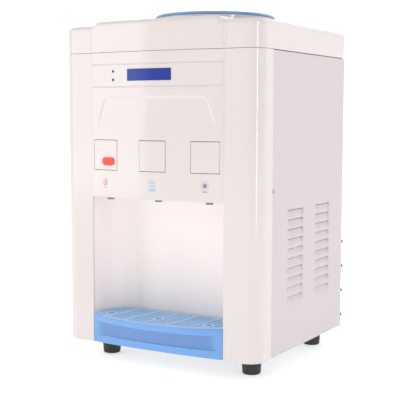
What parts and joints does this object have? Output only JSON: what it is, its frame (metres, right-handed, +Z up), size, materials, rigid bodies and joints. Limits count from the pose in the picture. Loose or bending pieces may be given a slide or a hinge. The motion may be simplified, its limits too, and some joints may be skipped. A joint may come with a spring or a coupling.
{
  "type": "countertop water dispenser",
  "caption": "Countertop bottled-water dispenser: white cabinet, rounded pillars, open alcove, push buttons, blue pull-out drip tray, blue bottle seat and rear condenser.",
  "frame": {"origin": "on the counter, under the middle of the object's outline", "axes": "+Z up; -Y is the front with the buttons and tray; +X is to the right seen from the front"},
  "size_m": [0.31, 0.34, 0.49],
  "materials": {
    "white_abs": "glossy moulded ABS",
    "liner_white": "satin moulded ABS",
    "white_sheet": "powder-coated steel sheet",
    "rear_sheet": "powder-coated steel sheet",
    "zinc_steel": "galvanised steel",
    "blue_abs": "glossy moulded ABS",
    "badge_blue": "plain enamelled plate",
    "black_rubber": "moulded rubber",
    "stainless": "drawn stainless steel",
    "natural_pp": "moulded polypropylene",
    "silicone": "silicone",
    "copper": "drawn copper",
    "foam": "expanded foam",
    "heater_metal": "pressed metal",
    "black_enamel": "black enamel",
    "black_plastic": "moulded plastic",
    "red_abs": "moulded ABS",
    "spring_steel": "drawn wire",
    "led_lens": "unlit lens",
    "board_green": "coated board",
    "cap_white": "moulded polypropylene"
  },
  "bodies": {
    "cabinet": {"alcove_liner": "liner_white", "back_panel": "rear_sheet", "badge_plate": "badge_blue", "base_pan": "zinc_steel", "bottle_collar": "white_abs", "button_spring_cold": "spring_steel", "button_spring_hot": "spring_steel", "button_spring_normal": "spring_steel", "capillary_tube": "copper", "cold_baffle": "natural_pp", "cold_tank": "stainless", "cold_water_hoses": "silicone", "compressor": "black_enamel", "compressor_grommets": "black_rubber", "condenser_brackets": "black_enamel", "condenser_tube": "black_enamel", "condenser_wires": "black_enamel", "cord_gland": "black_plastic", "evaporator_coil": "copper", "filter_drier": "copper", "foot_front_left": "black_rubber", "foot_front_right": "black_rubber", "foot_rear_left": "black_rubber", "foot_rear_right": "black_rubber", "front_panel": "white_abs", "heater_band": "heater_metal", "hot_jacket": "foam", "hot_tank": "stainless", "hot_tank_stand": "zinc_steel", "hot_thermostats": "heater_metal", "hot_water_hoses": "silicone", "indicator_board": "board_green", "indicator_leds": "led_lens", "refrigerant_lines": "copper", "relay_cover": "black_plastic", "screws": "zinc_steel", "seat_gasket": "silicone", "side_panel_left": "white_sheet", "side_panel_right": "white_sheet", "switch_frames": "black_plastic", "tank_insulation": "foam", "tank_lid": "natural_pp", "tank_shelf": "zinc_steel", "tap_body_cold": "natural_pp", "tap_body_hot": "natural_pp", "tap_body_normal": "natural_pp", "top_cover": "white_abs"},
    "button_hot": {"button_hot": "white_abs"},
    "button_normal": {"button_normal": "white_abs"},
    "button_cold": {"button_cold": "white_abs"},
    "valve_plunger_hot": {"valve_plunger_hot": "natural_pp"},
    "valve_plunger_normal": {"valve_plunger_normal": "natural_pp"},
    "valve_plunger_cold": {"valve_plunger_cold": "natural_pp"},
    "child_lock": {"child_lock": "red_abs"},
    "drip_tray": {"drip_tray": "blue_abs"},
    "drip_grille": {"drip_grille": "blue_abs"},
    "bottle_seat": {"bottle_seat": "blue_abs"},
    "rocker_hot": {"rocker_hot": "red_abs"},
    "rocker_cold": {"rocker_cold": "black_plastic"},
    "drain_cap": {"drain_cap": "cap_white"}
  },
  "joints": [
    {"name": "button_hot_press", "type": "slide", "parent": "cabinet", "child": "button_hot", "axis": [0, 1, 0], "range_m": [0, 0.004], "stiffness_N_per_m": 500, "springref_m": -0.003, "deforming": ["button_spring_hot"]},
    {"name": "button_normal_press", "type": "slide", "parent": "cabinet", "child": "button_normal", "axis": [0, 1, 0], "range_m": [0, 0.004], "stiffness_N_per_m": 500, "springref_m": -0.003, "deforming": ["button_spring_normal"]},
    {"name": "button_cold_press", "type": "slide", "parent": "cabinet", "child": "button_cold", "axis": [0, 1, 0], "range_m": [0, 0.004], "stiffness_N_per_m": 500, "springref_m": -0.003, "deforming": ["button_spring_cold"]},
    {"name": "valve_hot_lift", "type": "slide", "parent": "cabinet", "child": "valve_plunger_hot", "axis": [0, 0, 1], "range_m": [0, 0.0024]},
    {"name": "valve_normal_lift", "type": "slide", "parent": "cabinet", "child": "valve_plunger_normal", "axis": [0, 0, 1], "range_m": [0, 0.0024]},
    {"name": "valve_cold_lift", "type": "slide", "parent": "cabinet", "child": "valve_plunger_cold", "axis": [0, 0, 1], "range_m": [0, 0.0024]},
    {"name": "child_lock_slide", "type": "slide", "parent": "button_hot", "child": "child_lock", "axis": [-0.9944, 0.1053, 0], "range_m": [0, 0.005]},
    {"name": "tray_pull", "type": "slide", "parent": "cabinet", "child": "drip_tray", "axis": [0, -1, 0], "range_m": [0, 0.12]},
    {"name": "grille_lift", "type": "slide", "parent": "drip_tray", "child": "drip_grille", "axis": [0, 0, 1], "range_m": [0, 0.04]},
    {"name": "bottle_seat_lift", "type": "slide", "parent": "cabinet", "child": "bottle_seat", "axis": [0, 0, 1], "range_m": [0, 0.09]},
    {"name": "switch_hot_rock", "type": "hinge", "parent": "cabinet", "child": "rocker_hot", "pos_m": [-0.08, 0.1315, 0.33], "axis": [1, 0, 0], "range_deg": [0, 16]},
    {"name": "switch_cold_rock", "type": "hinge", "parent": "cabinet", "child": "rocker_cold", "pos_m": [-0.05, 0.1315, 0.33], "axis": [1, 0, 0], "range_deg": [0, 16]},
    {"name": "drain_cap_turn", "type": "hinge", "parent": "cabinet", "child": "drain_cap", "pos_m": [-0.088, 0.04, 0.016], "axis": [0, 0, 1], "continuous": true}
  ],
  "couplings": [
    {"joint": "valve_hot_lift", "follows": "button_hot_press", "ratio": 0.6},
    {"joint": "valve_normal_lift", "follows": "button_normal_press", "ratio": 0.6},
    {"joint": "valve_cold_lift", "follows": "button_cold_press", "ratio": 0.6}
  ]
}
